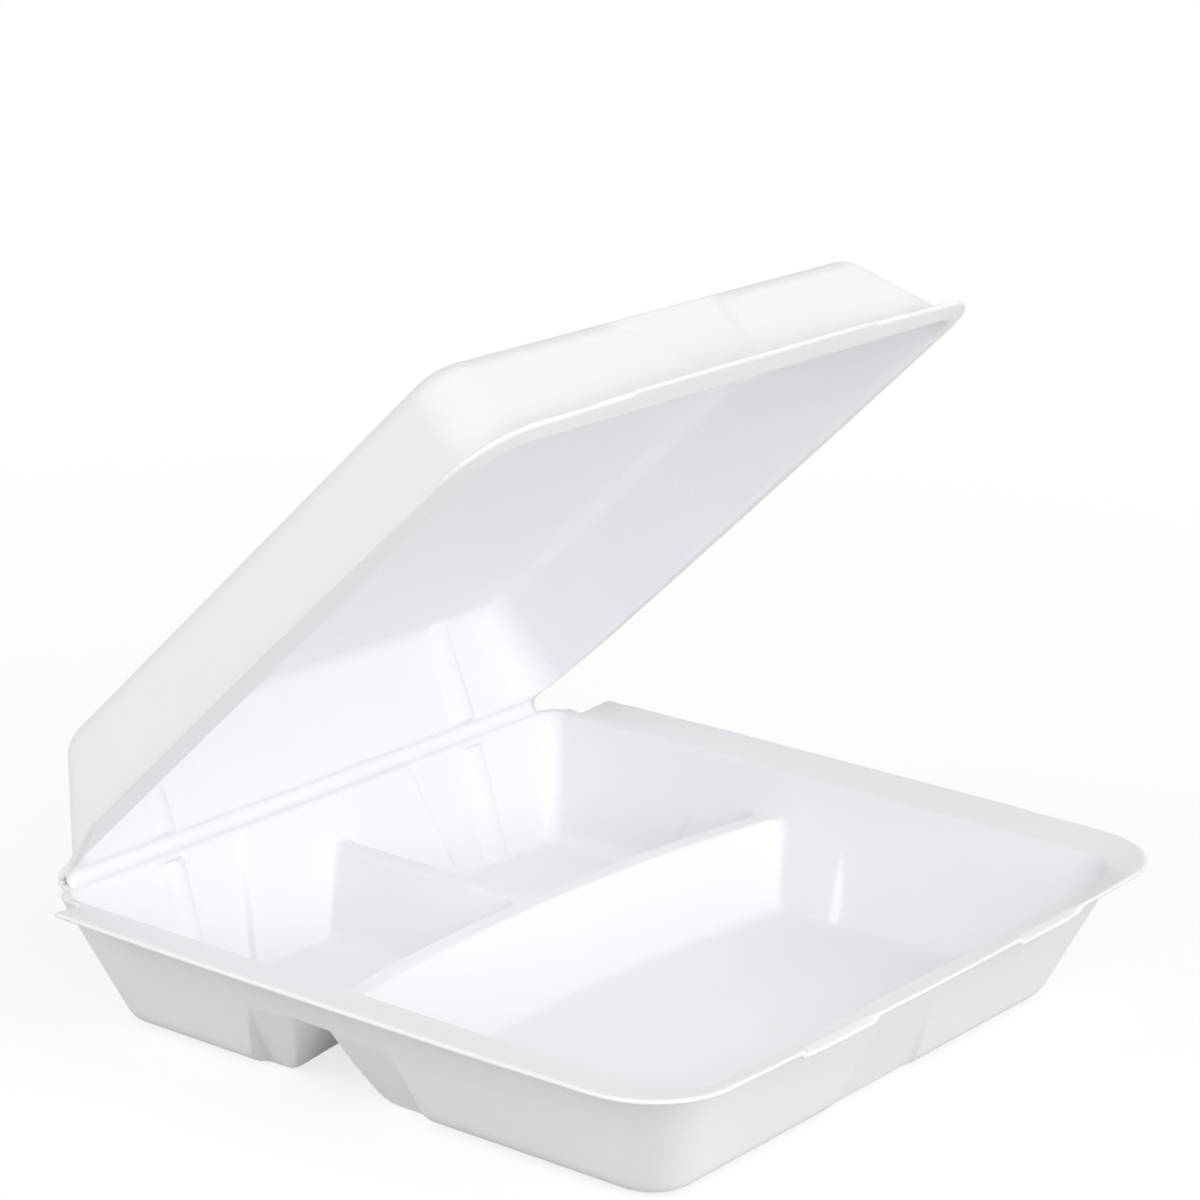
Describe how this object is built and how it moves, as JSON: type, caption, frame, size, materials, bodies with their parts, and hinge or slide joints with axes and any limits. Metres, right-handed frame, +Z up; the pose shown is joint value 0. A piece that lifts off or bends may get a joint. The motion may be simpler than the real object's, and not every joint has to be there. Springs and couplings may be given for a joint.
{
  "type": "foam clamshell container",
  "caption": "Hinged foam take-away container with a shallow domed lid and a tray divided into compartments, for carrying a meal.",
  "frame": {"origin": "on the plane that the tray stands on, midway across the tray and midway from its front edge to the hinge line", "axes": "+X along the hinge to the right, seen from the front; -Y towards the latch edge; +Z up"},
  "size_m": [0.2388, 0.2214, 0.1924],
  "materials": {
    "tray_foam": "satin foam skin",
    "lid_foam": "satin foam skin"
  },
  "bodies": {
    "tray": {"tray": "tray_foam"},
    "lid": {"lid": "lid_foam"}
  },
  "joints": [
    {"name": "lid_hinge", "type": "hinge", "parent": "tray", "child": "lid", "pos_m": [0, 0.10625, 0.03655], "axis": [-1, 0, 0], "range_deg": [-44.8, 135]}
  ]
}
